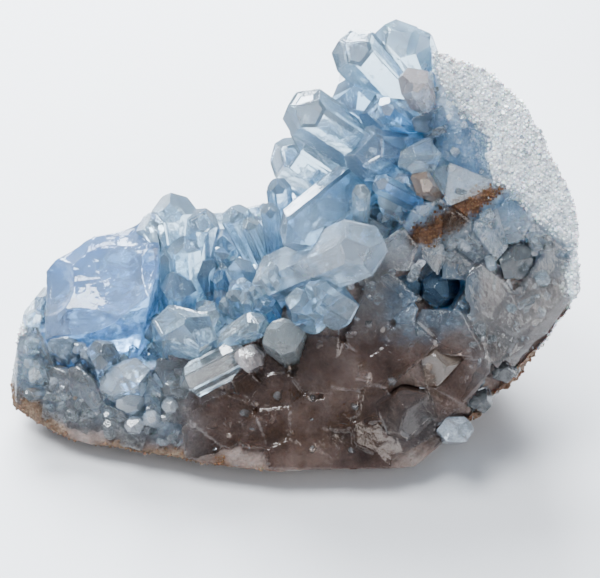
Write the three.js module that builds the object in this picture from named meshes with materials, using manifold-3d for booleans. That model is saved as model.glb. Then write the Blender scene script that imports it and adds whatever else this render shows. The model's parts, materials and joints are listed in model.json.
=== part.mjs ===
// A hand-sized piece of a celestite geode: a leaning wall of rock with an open, crystal-lined hollow.
// Millimetres, +Z up, seen from -Y. The broken section leans back from the front edge to the top.
import * as THREE from "three";
import { ConvexGeometry } from "three/addons/geometries/ConvexGeometry.js";
import { mergeVertices } from "three/addons/utils/BufferGeometryUtils.js";
import Module from "manifold-3d";

const wasm = await Module();
wasm.setup();

const gap = 0.3; // air left between neighbouring solids
const troughLength = 160; // the hollow is open at the front and at the back
const cellA = 8.36; // celestite's unit cell sets the angles between crystal faces
const cellB = 5.35;
const cellC = 6.87;
const sideWander = 0.14; // how far a face strays from its even distance, as a share of it
const tipWander = 0.22;
const druseStep = 6.2; // spacing of the small crystals that carpet the hollow
const druseWide = [5.8, 9.6];
const druseLong = [9, 14.5];
const druseSink = 4; // depth of a small crystal's root below the surface of the hollow
const druseInset = 5; // from the broken section to the first row
const druseBack = 60;
const druseRooted = 0.12; // smallest share of a small crystal that sits in the rock
const druseVisible = 0.3; // smallest share left after its neighbours are cut away
const mostPatches = 18; // the larger bodies of joined small crystals that are kept

const viewer = new THREE.Vector3(0, -0.77, 0.64);
const up = new THREE.Vector3(0, 0, 1);

const looks = {
  rock: { color: 0xb9b2a8, roughness: 0.85 },
  pale: { color: 0xb4cde6, roughness: 0.12 },
  blue: { color: 0x86aedb, roughness: 0.12 },
  deep: { color: 0x3f6ea6, roughness: 0.15 },
  smoky: { color: 0xa99b90, roughness: 0.2 },
};

// Outside of the rock: the flat it stands on, the front edge, the rim and the round back.
const restingFlat = [
  [-44, 18, 0], [-20, 10, 0], [10, 9, 0], [30, 12, 0], [37, 24, 0],
  [33, 44, 0], [18, 54, 0], [-12, 53, 0], [-38, 44, 0], [-49, 30, 0],
];
const frontEdge = [
  [-65, 21, 8], [-64, 17.5, 6], [-59.5, 13.5, 5], [-52, 9, 5], [-43, 6, 5], [-23, 1, 6],
  [-6, -2.5, 6], [10, 0, 6], [24, -1, 6], [36, 6.5, 14], [42, 8.5, 20], [51, 13, 30],
];
const rim = [
  [57.5, 17, 40], [57, 24, 52], [53, 31, 61], [46, 40, 70], [39.5, 44, 75.5], [28, 46, 79.5],
  [58.5, 27, 41], [57.5, 36, 48], [50, 46, 59], [41, 52, 69], [28, 53, 74],
];
const roundBack = [
  [45, 16, 10], [54, 30, 24], [55, 42, 38], [48, 54, 49], [38, 60, 57], [26, 61, 65],
  [46, 46, 14], [44, 58, 34], [30, 65, 48], [14, 64, 58], [16, 58, 67], [30, 62, 16],
  [4, 64, 34], [-14, 60, 18], [-42, 50, 12], [-58, 42, 16], [-61, 32, 8],
  [-62.5, 23, 18], [-61, 30, 22], [-59, 34, 24],
];
// Cross-section of the hollow, open to the sky.
const troughProfile = [
  [-90, 62], [-66, 26], [-55, 14], [-34, 14.5], [-20, 21], [-2, 31], [9, 38], [20, 48], [27, 58],
  [28, 71], [24, 110], [-90, 110],
];
// The broken section: a face that leans back from the front edge and turns away at the left.
const sectionLean = 0.62;
const sectionTurn = 0.5;
const sectionEdge = { x: -23, y: -1, z: 6 };
// A blue-lined pocket in the broken section.
const pocket = [
  [20, 14, 40], [26, 10, 33], [36, 12, 33], [37, 18, 42], [28, 20, 47],
  [24, 25, 36], [31, 27, 32], [35, 26, 39], [28, 28, 41],
];

function seededRandom(seed) {
  let state = seed >>> 0;
  return () => {
    state = (state + 0x6d2b79f5) >>> 0;
    let t = Math.imul(state ^ (state >>> 15), 1 | state);
    t = (t + Math.imul(t ^ (t >>> 7), 61 | t)) ^ t;
    return ((t ^ (t >>> 14)) >>> 0) / 4294967296;
  };
}

function vectors(list) {
  return list.map((p) => new THREE.Vector3(...p));
}

function solidOf(geometry) {
  const bare = geometry.clone();
  bare.deleteAttribute("normal");
  bare.deleteAttribute("uv");
  const merged = mergeVertices(bare, 1e-4);
  return new wasm.Manifold(
    new wasm.Mesh({
      numProp: 3,
      vertProperties: new Float32Array(merged.attributes.position.array),
      triVerts: new Uint32Array(merged.index.array),
    }),
  );
}

function geometryOf(solid) {
  const mesh = solid.getMesh();
  const geometry = new THREE.BufferGeometry();
  geometry.setAttribute("position", new THREE.BufferAttribute(mesh.vertProperties, 3));
  geometry.setIndex(new THREE.BufferAttribute(mesh.triVerts, 1));
  return geometry.toNonIndexed();
}

function largestBody(solid) {
  const bodies = solid.decompose();
  bodies.sort((a, b) => b.volume() - a.volume());
  return bodies[0];
}

function grownHull(points, grow) {
  const corners = vectors(points);
  const centre = corners.reduce((sum, p) => sum.add(p), new THREE.Vector3());
  centre.divideScalar(corners.length);
  const moved = corners.map((p) => {
    const out = p.clone().sub(centre);
    return centre.clone().add(out.setLength(out.length() + grow));
  });
  return solidOf(new ConvexGeometry(moved));
}

// Corners of the convex solid that lies behind every one of the planes.
function cornersOf(planes) {
  const corners = [];
  for (let i = 0; i < planes.length; i++) {
    for (let j = i + 1; j < planes.length; j++) {
      for (let k = j + 1; k < planes.length; k++) {
        const [a, b, c] = [planes[i], planes[j], planes[k]];
        const bc = b.normal.clone().cross(c.normal);
        const det = a.normal.dot(bc);
        if (Math.abs(det) < 1e-4) continue;
        const p = bc.multiplyScalar(a.reach);
        p.addScaledVector(c.normal.clone().cross(a.normal), b.reach);
        p.addScaledVector(a.normal.clone().cross(b.normal), c.reach);
        p.divideScalar(det);
        if (planes.every((f) => f.normal.dot(p) < f.reach + 1e-4)) corners.push(p);
      }
    }
  }
  return corners;
}

// Normal of the face hkl, with the crystal's length along z, its width along x, its thickness along y.
function faceNormal(h, k, l) {
  return new THREE.Vector3(k / cellB, l / cellC, h / cellA).normalize();
}

// One celestite crystal: broad c faces, bevelling o faces, and a tip of two m and two d faces.
function crystalPlanes(wide, thick, long, random) {
  const wander = (share) => 1 + share * (2 * random() - 1);
  const planes = [{ normal: new THREE.Vector3(0, 0, -1), reach: 0 }];
  for (const side of [1, -1]) {
    const c = faceNormal(0, 0, side);
    planes.push({ normal: c, reach: (thick / 2) * wander(sideWander) });
    const m = faceNormal(2, side, 0);
    planes.push({ normal: m, reach: m.z * (long + wide * tipWander * (random() - 0.5)) });
    const d = faceNormal(1, 0, side);
    planes.push({ normal: d, reach: d.z * (long + thick * (0.1 + tipWander * random())) });
    for (const turn of [1, -1]) {
      const o = faceNormal(0, side, turn);
      planes.push({ normal: o, reach: Math.abs(o.x) * (wide / 2) * wander(sideWander) });
    }
  }
  return planes;
}

function crystalSolid(crystal, grow) {
  const root = new THREE.Vector3(...crystal.root);
  const axis = new THREE.Vector3(...crystal.tip).sub(root);
  const random = seededRandom(crystal.seed);
  const planes = crystalPlanes(crystal.wide, crystal.thick, axis.length(), random);
  planes.forEach((f) => (f.reach += grow));
  const geometry = new ConvexGeometry(cornersOf(planes));
  const z = axis.normalize();
  const facing = crystal.faces ? new THREE.Vector3(...crystal.faces) : viewer.clone();
  const y = facing.addScaledVector(z, -facing.dot(z)).normalize();
  const x = y.clone().cross(z);
  geometry.applyMatrix4(new THREE.Matrix4().makeBasis(x, y, z).setPosition(root));
  return solidOf(geometry);
}

// The profile drawn in by the same distance on every side.
function drawnIn(profile, by) {
  const points = profile.map(([x, z]) => new THREE.Vector2(x, z));
  const inward = points.map((p, i) => {
    const run = points[(i + 1) % points.length].clone().sub(p).normalize();
    return new THREE.Vector2(-run.y, run.x);
  });
  return points.map((p, i) => {
    const before = inward[(i + points.length - 1) % points.length];
    const middle = before.clone().add(inward[i]).normalize();
    return p.clone().addScaledVector(middle, by / middle.dot(inward[i]));
  });
}

function rockSolid(grow) {
  const outside = grownHull([...restingFlat, ...frontEdge, ...rim, ...roundBack], grow);
  const shape = new THREE.Shape(drawnIn(troughProfile, grow));
  const trough = new THREE.ExtrudeGeometry(shape, { depth: troughLength, bevelEnabled: false });
  trough.rotateX(Math.PI / 2);
  trough.translate(0, troughLength - 40, 0);
  return outside.subtract(solidOf(trough)).subtract(grownHull(pocket, -grow));
}

// Named crystals, the foremost first: each later one gives way to those before it.
const namedCrystals = [
  { name: "clear_point", look: "pale", parts: [
    { root: [-6, 30, 31], tip: [15, 16, 54], wide: 13, thick: 11.5 }] },
  { name: "blue_blade", look: "blue", parts: [
    { root: [23, 47, 56], tip: [-3, 23, 48], wide: 12, thick: 6 }] },
  { name: "hero_point", look: "pale", parts: [
    { root: [22, 47, 48], tip: [-1, 31, 76], wide: 11.5, thick: 10 }] },
  { name: "top_blade", look: "pale", parts: [
    { root: [28, 54, 55], tip: [9, 44, 83], wide: 11.5, thick: 8 }] },
  { name: "dark_blade", look: "deep", parts: [
    { root: [33, 35, 44], tip: [15, 23, 63], wide: 4.6, thick: 3.4 }] },
  { name: "left_slab", look: "pale", block: [
    [-55.5, 22, 21.5], [-47.5, 21, 26.5], [-40.5, 21, 29.8], [-31.8, 24, 34], [-57, 37, 29.5], [-52, 38, 33.2],
    [-43.3, 42, 36.3], [-35, 46, 39.3], [-31, 40, 37.5], [-30.5, 30, 35.5], [-55, 25, 12], [-53, 40, 12],
    [-36, 26, 12.5], [-33, 42, 12.5]] },
  { name: "knob", look: "pale", parts: [
    { root: [-27, 41, 14], tip: [-28, 44, 44], wide: 11, thick: 9 },
    { root: [-27, 39, 16], tip: [-21, 42, 41], wide: 8, thick: 6.5 },
    { root: [-28, 38, 16], tip: [-33, 40, 42], wide: 7, thick: 6 },
    { root: [-26, 38, 15], tip: [-25.5, 36, 38.5], wide: 8, thick: 7 },
    { root: [-29, 38, 15], tip: [-30, 36, 36], wide: 7, thick: 6 }] },
  { name: "oval_crystal", look: "pale", parts: [
    { root: [-26, 24, 15], tip: [-24, 14, 34], wide: 15, thick: 9.5 }] },
  { name: "blue_mass", look: "blue", parts: [
    { root: [34, 47, 53], tip: [10, 33, 64], wide: 14, thick: 11 },
    { root: [35, 43, 50], tip: [17, 28, 57], wide: 11, thick: 9 },
    { root: [32, 50, 59], tip: [13, 38, 69], wide: 10, thick: 9 },
    { root: [31, 53, 58], tip: [7, 41, 72], wide: 10, thick: 8 }] },
  { name: "back_clear", look: "pale", parts: [
    { root: [28, 57, 60], tip: [19, 51, 82], wide: 10.5, thick: 8 },
    { root: [31, 55, 60], tip: [23.5, 48, 81.5], wide: 6.5, thick: 5.5 }] },
  { name: "pink_block", look: "smoky", parts: [
    { root: [31, 50, 57], tip: [22, 38, 78], wide: 7.5, thick: 6 }] },
  { name: "teal_chip", look: "deep", parts: [
    { root: [27, 46, 56], tip: [16, 32, 75], wide: 4.6, thick: 3.6 }] },
  { name: "pale_back", look: "pale", parts: [
    { root: [16, 49, 34], tip: [-5, 46, 56], wide: 11, thick: 8 },
    { root: [20, 51, 42], tip: [-1, 45, 62], wide: 9, thick: 7 }] },
  { name: "tall_prism", look: "blue", parts: [
    { root: [-2.5, 43, 25], tip: [-4.5, 39, 52], wide: 5.4, thick: 4.6 }] },
  { name: "short_prism", look: "blue", parts: [
    { root: [-4.5, 37, 26], tip: [-6.5, 34, 49], wide: 4.4, thick: 3.8 }] },
  { name: "ring_prism", look: "pale", parts: [
    { root: [-6, 43, 20], tip: [-14.5, 40, 43.5], wide: 7, thick: 5.6 }] },
  { name: "striped_prism", look: "pale", parts: [
    { root: [-5, 39, 22], tip: [-11, 36, 43.5], wide: 4.2, thick: 3.6 }] },
  { name: "back_mass", look: "blue", parts: [
    { root: [-18, 48, 13], tip: [-18, 46, 33], wide: 9.5, thick: 8 }] },
  { name: "grey_knob", look: "smoky", inset: true, parts: [
    { root: [-2, 19, 18], tip: [-4, 9, 35], wide: 9, thick: 8.5 }] },
  { name: "tilted_point", look: "pale", parts: [
    { root: [-19, 21, 19], tip: [-8, 15, 33.5], wide: 6, thick: 5 }] },
  { name: "teal_point", look: "deep", parts: [
    { root: [-4, 24, 22], tip: [-8, 18, 36.5], wide: 5.6, thick: 4.6 }] },
  { name: "bright_chip", look: "pale", parts: [
    { root: [-2, 28, 27], tip: [-7, 21, 42.5], wide: 4.4, thick: 3.6 }] },
  { name: "window_prism", look: "pale", parts: [
    { root: [13, 33, 38], tip: [12, 19, 64], wide: 3.8, thick: 3 }] },
  { name: "square_points", look: "pale", parts: [
    { root: [-13.5, 28, 21], tip: [-14, 24, 33.5], wide: 4.2, thick: 3.4 },
    { root: [-11, 28, 21], tip: [-11, 21.5, 34.5], wide: 4, thick: 3.4 },
    { root: [-9.5, 27, 23], tip: [-9, 22.5, 36], wide: 3.6, thick: 3 }] },
  { name: "dome_crystal", look: "blue", parts: [
    { root: [-28, 38, 13], tip: [-27, 31, 31.5], wide: 8.5, thick: 7 }] },
  { name: "floor_blue", look: "blue", parts: [
    { root: [-21.5, 43, 15], tip: [-22, 37, 32], wide: 7, thick: 5.6 }] },
  { name: "floor_teal", look: "deep", parts: [
    { root: [-18, 36, 17], tip: [-17, 32, 31.5], wide: 6, thick: 5 }] },
  { name: "clear_round", look: "pale", parts: [
    { root: [-43, 21, 11], tip: [-42, 14, 26], wide: 7.6, thick: 6.4 }] },
  { name: "front_left_point", look: "pale", parts: [
    { root: [-36, 17, 9], tip: [-38, 11.5, 22.5], wide: 11.5, thick: 8.5 }] },
  { name: "front_chip", look: "smoky", inset: true, parts: [
    { root: [-35, 15, 6], tip: [-37, 7.5, 17.5], wide: 6, thick: 4.4 }] },
  { name: "tan_block", look: "smoky", inset: true, parts: [
    { root: [33, 38, 45], tip: [23, 28, 60], wide: 7, thick: 6 }] },
  { name: "pocket_blue", look: "deep", inset: true, parts: [
    { root: [35, 31, 29], tip: [27, 18.5, 39], wide: 8.5, thick: 6.5 },
    { root: [28, 31, 28], tip: [21.5, 19, 40], wide: 6, thick: 5 }] },
  { name: "pocket_point", look: "deep", inset: true, parts: [
    { root: [38, 20, 16], tip: [36.5, 8.5, 22], wide: 5.4, thick: 4.4 }] },
  { name: "tan_window", look: "smoky", inset: true, parts: [
    { root: [31, 22, 14], tip: [29, 8, 28], wide: 11, thick: 6.5 }] },
  { name: "wall_window", look: "smoky", inset: true, parts: [
    { root: [47, 33, 32], tip: [44, 18.5, 47], wide: 9, thick: 7.5 }] },
  { name: "lower_chip", look: "smoky", inset: true, parts: [
    { root: [33, 11, 4], tip: [33, 0.5, 16], wide: 7.5, thick: 5 }] },
  { name: "lying_prism", look: "smoky", inset: true, parts: [
    { root: [-12, 15, 23.5], tip: [-25.5, 7.2, 21.2], wide: 7.5, thick: 6 }] },
  { name: "pinkish_chip", look: "smoky", inset: true, parts: [
    { root: [-8.5, 17, 21], tip: [-11.5, 10, 27.5], wide: 6.5, thick: 5.5 }] },
  { name: "corner_block", look: "pale", inset: true, parts: [
    { root: [40, 18, 17], tip: [42.5, 9.3, 25.5], wide: 8, thick: 6.5 }] },
  { name: "step_block", look: "pale", inset: true, parts: [
    { root: [36, 14, 12], tip: [38.5, 6, 19.5], wide: 6.5, thick: 5.5 }] },
  { name: "heel_block", look: "smoky", inset: true, parts: [
    { root: [23, 20, 8], tip: [22, 0, 19], wide: 13, thick: 11 }] },
];

// An inset crystal keeps its root in the rock; the others stop at the surface of the hollow.
const rockGrown = rockSolid(gap);
let rock = rockSolid(0);
const taken = [];
const clearOfNeighbours = (solid) => taken.reduce((left, other) => left.subtract(other), solid);
const nodes = [];
namedCrystals.forEach((node, index) => {
  const build = (grow) => {
    if (node.block) return grownHull(node.block, 1.6 * grow);
    const made = node.parts.map((part, i) => crystalSolid({ seed: 101 * index + i, ...part }, grow));
    return made.reduce((joined, next) => joined.add(next));
  };
  const grown = build(gap);
  const whole = node.inset ? build(0) : build(0).subtract(rockGrown);
  const solid = largestBody(clearOfNeighbours(whole));
  if (node.inset) rock = rock.subtract(grown);
  nodes.push({ name: node.name, look: node.look, solid });
  taken.push(grown);
});
nodes.unshift({ name: "geode_wall", look: "rock", solid: rock });

// Small crystals that carpet the hollow between the named ones.
const random = seededRandom(20);
const between = ([low, high]) => low + (high - low) * random();
const carpet = [];

function plant(foot, aim, wide, long) {
  const root = foot.clone().addScaledVector(aim, -druseSink);
  const tip = root.clone().addScaledVector(aim, long);
  const faces = [random() - 0.5, random() - 0.9, random() - 0.4];
  const thick = wide * (0.6 + 0.3 * random());
  const seed = 7000 + carpet.length;
  const crystal = { root: root.toArray(), tip: tip.toArray(), wide, thick, faces, seed };
  const whole = crystalSolid(crystal, 0);
  if (whole.intersect(rock).volume() < druseRooted * whole.volume()) return;
  const left = largestBody(clearOfNeighbours(whole.subtract(rockGrown)));
  if (left && left.volume() > druseVisible * whole.volume()) carpet.push(left);
}

function sectionDepth(x, z) {
  const turned = sectionTurn * Math.max(0, sectionEdge.x - x);
  return sectionEdge.y + turned + sectionLean * (z - sectionEdge.z);
}

for (let i = 1; i < troughProfile.length - 3; i++) {
  const from = new THREE.Vector2(...troughProfile[i]);
  const to = new THREE.Vector2(...troughProfile[i + 1]);
  const run = to.clone().sub(from);
  const inward = new THREE.Vector3(-run.y, 0, run.x).normalize();
  const count = Math.max(1, Math.round(run.length() / druseStep));
  for (let s = 0; s < count; s++) {
    const place = () => from.clone().addScaledVector(run, (s + 0.2 + 0.6 * random()) / count);
    for (let y = sectionDepth(from.x, from.y) + druseInset; y < druseBack; y += druseStep) {
      const on = place();
      const foot = new THREE.Vector3(on.x, y + druseStep * (random() - 0.5), on.y);
      const stray = new THREE.Vector3(random() - 0.5, random() - 0.62, random() - 0.3);
      const aim = inward.clone().addScaledVector(stray, 1.1).addScaledVector(up, 0.2).normalize();
      plant(foot, aim, between(druseWide), between(druseLong));
    }
  }
}
const patches = carpet.reduce((joined, next) => joined.add(next)).decompose();
patches.sort((a, b) => b.volume() - a.volume());
patches.slice(0, mostPatches).forEach((solid, i) => {
  const name = "druse_" + String(i + 1).padStart(2, "0");
  nodes.push({ name, look: i % 3 === 1 ? "blue" : "pale", solid });
});

const specimen = new THREE.Group();
specimen.name = "celestite_specimen";
for (const { name, look, solid } of nodes) {
  const material = new THREE.MeshStandardMaterial({ ...looks[look], metalness: 0 });
  const mesh = new THREE.Mesh(geometryOf(solid), material);
  mesh.name = name;
  specimen.add(mesh);
}

// The origin is under the middle of the piece, on the surface it stands on.
const box = new THREE.Box3().setFromObject(specimen);
const middle = box.getCenter(new THREE.Vector3());
specimen.position.set(-middle.x, -middle.y, -box.min.z);

const group = new THREE.Group();
group.add(specimen);

export default group;
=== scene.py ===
import json
import math
from itertools import combinations

import bmesh
import bpy
import numpy as np
from mathutils import Matrix, Vector, kdtree, noise
from mathutils.bvhtree import BVHTree


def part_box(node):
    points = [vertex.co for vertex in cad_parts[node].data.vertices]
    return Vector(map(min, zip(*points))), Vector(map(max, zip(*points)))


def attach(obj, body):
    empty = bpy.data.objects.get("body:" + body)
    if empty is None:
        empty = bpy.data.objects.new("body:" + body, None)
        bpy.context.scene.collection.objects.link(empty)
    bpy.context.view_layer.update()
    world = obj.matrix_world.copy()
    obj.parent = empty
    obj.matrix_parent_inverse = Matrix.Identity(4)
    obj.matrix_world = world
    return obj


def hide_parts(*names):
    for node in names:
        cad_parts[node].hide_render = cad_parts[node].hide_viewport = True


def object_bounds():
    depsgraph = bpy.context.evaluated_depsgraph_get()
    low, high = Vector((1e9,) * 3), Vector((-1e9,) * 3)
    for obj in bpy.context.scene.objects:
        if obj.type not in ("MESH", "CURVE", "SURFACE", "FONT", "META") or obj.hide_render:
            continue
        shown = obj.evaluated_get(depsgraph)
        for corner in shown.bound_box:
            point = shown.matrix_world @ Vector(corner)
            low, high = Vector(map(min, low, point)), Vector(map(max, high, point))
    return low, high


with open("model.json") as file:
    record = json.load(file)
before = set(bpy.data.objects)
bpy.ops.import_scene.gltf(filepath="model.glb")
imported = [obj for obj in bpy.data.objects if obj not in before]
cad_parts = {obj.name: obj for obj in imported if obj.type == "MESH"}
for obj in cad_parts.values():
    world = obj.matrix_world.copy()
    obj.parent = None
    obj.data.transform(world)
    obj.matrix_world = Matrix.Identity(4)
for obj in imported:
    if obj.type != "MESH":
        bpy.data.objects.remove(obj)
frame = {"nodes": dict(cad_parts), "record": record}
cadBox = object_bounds()
mm = 0.001
print("frame loaded:", len(frame["nodes"]), "nodes")


# small helpers

def unit(v):
    v = np.asarray(v, float)
    return v / np.linalg.norm(v)


def sideways(n):
    # any two directions square to n
    a = np.cross(n, (0.0, 0.0, 1.0) if abs(n[2]) < 0.9 else (1.0, 0.0, 0.0))
    a = unit(a)
    return a, np.cross(n, a)


def smooth(low, high, x):
    t = np.clip((np.asarray(x, float) - low) / (high - low), 0, 1)
    return t * t * (3 - 2 * t)


def fractal(points, size, seed, octaves=4):
    # fractal noise of about -1 to 1 at points in mm
    shift = Vector((seed * 13.7, seed * 7.1, seed * 3.3))
    return np.array([noise.fractal(Vector(p) / size + shift, 0.9, 2.1, octaves) for p in points])


def meshObject(name, verts, faces, material):
    mesh = bpy.data.meshes.new(name)
    mesh.from_pydata([tuple(v) for v in verts], [], faces)
    mesh.update()
    piece = bpy.data.objects.new(name, mesh)
    bpy.context.scene.collection.objects.link(piece)
    mesh.materials.append(material)
    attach(piece, "root")
    return piece


def applyModifiers(piece):
    depsgraph = bpy.context.evaluated_depsgraph_get()
    mesh = bpy.data.meshes.new_from_object(piece.evaluated_get(depsgraph))
    piece.modifiers.clear()
    old = piece.data
    piece.data = mesh
    bpy.data.meshes.remove(old)


def addBevel(piece, width, segments=1, angle=12):
    bevel = piece.modifiers.new("edges", "BEVEL")
    bevel.width = width
    bevel.segments = segments
    bevel.limit_method = "ANGLE"
    bevel.angle_limit = math.radians(angle)
    bevel.use_clamp_overlap = True
    return bevel


# convex solids from planes, in mm

tripleTable = {}


def triples(count):
    if count not in tripleTable:
        tripleTable[count] = np.array(list(combinations(range(count), 3)))
    return tripleTable[count]


def cutSolid(normals, reaches):
    # corners are where three planes meet with none of the others cutting them off
    n = np.asarray(normals, float)
    d = np.asarray(reaches, float)
    t = triples(len(n))
    a = n[t]
    good = np.abs(np.linalg.det(a)) > 1e-3
    p = np.linalg.solve(a[good], d[t[good]][..., None])[..., 0]
    p = p[(p @ n.T <= d + 1e-5).all(1)]
    first = np.unique(np.round(p, 3), axis=0, return_index=True)[1]
    p = p[first]
    faces = []
    for k in range(len(n)):
        on = np.where(np.abs(p @ n[k] - d[k]) < 2e-3)[0]
        if len(on) < 3:
            continue
        mid = p[on].mean(0)
        u = unit(p[on[0]] - mid)
        v = np.cross(n[k], u)
        spin = np.arctan2((p[on] - mid) @ v, (p[on] - mid) @ u)
        faces.append([int(i) for i in on[np.argsort(spin)]])
    return p, faces


celestite = {"a": 8.36, "b": 5.35, "c": 6.87, "sideWander": 0.15, "tipWander": 0.25}


def hkl(h, k, l):
    # width along x, thickness along y, length along z
    return unit((k / celestite["b"], l / celestite["c"], h / celestite["a"]))


def crystalShape(wide, thick, long, rng):
    normals = [(0, 0, -1)]
    reaches = [0.0]
    for side in (1, -1):
        wander = 1 + celestite["sideWander"] * rng.uniform(-1, 1, 3)
        tips = celestite["tipWander"] * rng.random(2)
        normals.append(hkl(0, 0, side))
        reaches.append(thick / 2 * wander[0])
        normals.append(hkl(2, side, 0))
        reaches.append(normals[-1][2] * (long + wide * (tips[0] - 0.1)))
        normals.append(hkl(1, 0, side))
        reaches.append(normals[-1][2] * (long + thick * (0.1 + tips[1])))
        for turn in (1, -1):
            normals.append(hkl(0, side, turn))
            reaches.append(abs(normals[-1][0]) * wide / 2 * wander[1 if turn > 0 else 2])
    return cutSolid(normals, reaches)


def shardShape(across, rise, rng, tilt=0.45, sides=5):
    # a loose chip: one tilted upper face, a second smaller one, leaning sides, a sunk base
    normals = [(0, 0, -1)]
    reaches = [across * 0.7]
    lean = rng.uniform(-tilt, tilt, 2)
    normals.append(unit((lean[0], lean[1], 1)))
    reaches.append(rise)
    chip = rng.uniform(0, 2 * math.pi)
    normals.append(unit((math.cos(chip), math.sin(chip), rng.uniform(0.5, 1.1))))
    reaches.append(across * rng.uniform(0.25, 0.5))
    start = rng.uniform(0, 2 * math.pi)
    for i in range(sides):
        turn = start + 2 * math.pi * (i + rng.uniform(-0.3, 0.3)) / sides
        normals.append(unit((math.cos(turn), math.sin(turn), rng.uniform(-0.1, 0.5))))
        reaches.append(across / 2 * rng.uniform(0.75, 1.15))
    return cutSolid(normals, reaches)


boxLow = np.array(cadBox[0]) / mm + 0.15
boxHigh = np.array(cadBox[1]) / mm - 0.15


def inBox(shape, x, y, z, at):
    verts = shape[0]
    placed = verts[:, :1] * x + verts[:, 1:2] * y + verts[:, 2:3] * z + at
    return (placed > boxLow).all() and (placed < boxHigh).all()


class Heap:
    # collects small solids and turns them into one mesh
    def __init__(self):
        self.verts = []
        self.faces = []
        self.count = 0

    def add(self, shape, x, y, z, at):
        verts, faces = shape
        placed = verts[:, :1] * x + verts[:, 1:2] * y + verts[:, 2:3] * z + at
        self.verts.append(np.clip(placed, boxLow, boxHigh) * mm)
        self.faces += [[i + self.count for i in f] for f in faces]
        self.count += len(verts)

    def build(self, name, material, slot, bevel=0.0):
        piece = meshObject(name, np.concatenate(self.verts), self.faces, material)
        if bevel:
            addBevel(piece, bevel)
            applyModifiers(piece)
        return piece


# shader node groups

def newGroup(name, inputs, outputs):
    group = bpy.data.node_groups.new(name, "ShaderNodeTree")
    for label, kind, value in inputs:
        socket = group.interface.new_socket(label, in_out="INPUT", socket_type=kind)
        socket.default_value = value
    for label, kind in outputs:
        group.interface.new_socket(label, in_out="OUTPUT", socket_type=kind)
    start = group.nodes.new("NodeGroupInput")
    end = group.nodes.new("NodeGroupOutput")
    return group, start, end


def addNode(tree, kind, values=None, **settings):
    node = tree.nodes.new(kind)
    for key, value in settings.items():
        setattr(node, key, value)
    for key, value in (values or {}).items():
        node.inputs[key].default_value = value
    return node


def ramp(tree, stops):
    node = tree.nodes.new("ShaderNodeValToRGB")
    band = node.color_ramp
    while len(band.elements) < len(stops):
        band.elements.new(0.5)
    for element, (place, colour) in zip(band.elements, stops):
        element.position = place
        element.color = (*colour, 1) if len(colour) == 3 else colour
    return node


def mixColour(tree, blend="MIX", factor=None):
    node = tree.nodes.new("ShaderNodeMix")
    node.data_type = "RGBA"
    node.blend_type = blend
    if factor is not None:
        node.inputs["Factor"].default_value = factor
    return node


def facetSkinGroup():
    # faint growth lines, dimples and cloudy patches of a crystal face
    group, start, end = newGroup(
        "facetSkin",
        [("Scale", "NodeSocketFloat", 1.0), ("Clear", "NodeSocketFloat", 0.03),
         ("Cloudy", "NodeSocketFloat", 0.25)],
        [("Height", "NodeSocketFloat"), ("Roughness", "NodeSocketFloat"), ("Cloud", "NodeSocketFloat")],
    )
    links = group.links
    coords = group.nodes.new("ShaderNodeTexCoord")
    scaled = addNode(group, "ShaderNodeVectorMath", operation="SCALE")
    links.new(coords.outputs["Object"], scaled.inputs[0])
    links.new(start.outputs["Scale"], scaled.inputs["Scale"])
    stretch = addNode(group, "ShaderNodeMapping")
    stretch.inputs["Scale"].default_value = (1.0, 0.25, 0.6)
    links.new(scaled.outputs["Vector"], stretch.inputs["Vector"])
    lines = addNode(group, "ShaderNodeTexNoise", {"Scale": 900, "Detail": 3, "Roughness": 0.5})
    links.new(stretch.outputs["Vector"], lines.inputs["Vector"])
    dents = addNode(group, "ShaderNodeTexNoise", {"Scale": 420, "Detail": 4, "Roughness": 0.6})
    clouds = addNode(group, "ShaderNodeTexNoise", {"Scale": 150, "Detail": 5, "Roughness": 0.65})
    for node in (dents, clouds):
        links.new(scaled.outputs["Vector"], node.inputs["Vector"])
    height = addNode(group, "ShaderNodeMath", {1: 0.35}, operation="MULTIPLY_ADD")
    links.new(lines.outputs["Fac"], height.inputs[0])
    links.new(dents.outputs["Fac"], height.inputs[2])
    links.new(height.outputs["Value"], end.inputs["Height"])
    patch = ramp(group, [(0.48, (0, 0, 0)), (0.68, (1, 1, 1))])
    links.new(clouds.outputs["Fac"], patch.inputs["Fac"])
    rough = addNode(group, "ShaderNodeMapRange")
    links.new(patch.outputs["Color"], rough.inputs["Value"])
    links.new(start.outputs["Clear"], rough.inputs["To Min"])
    links.new(start.outputs["Cloudy"], rough.inputs["To Max"])
    links.new(rough.outputs["Result"], end.inputs["Roughness"])
    links.new(patch.outputs["Color"], end.inputs["Cloud"])
    return group


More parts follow.
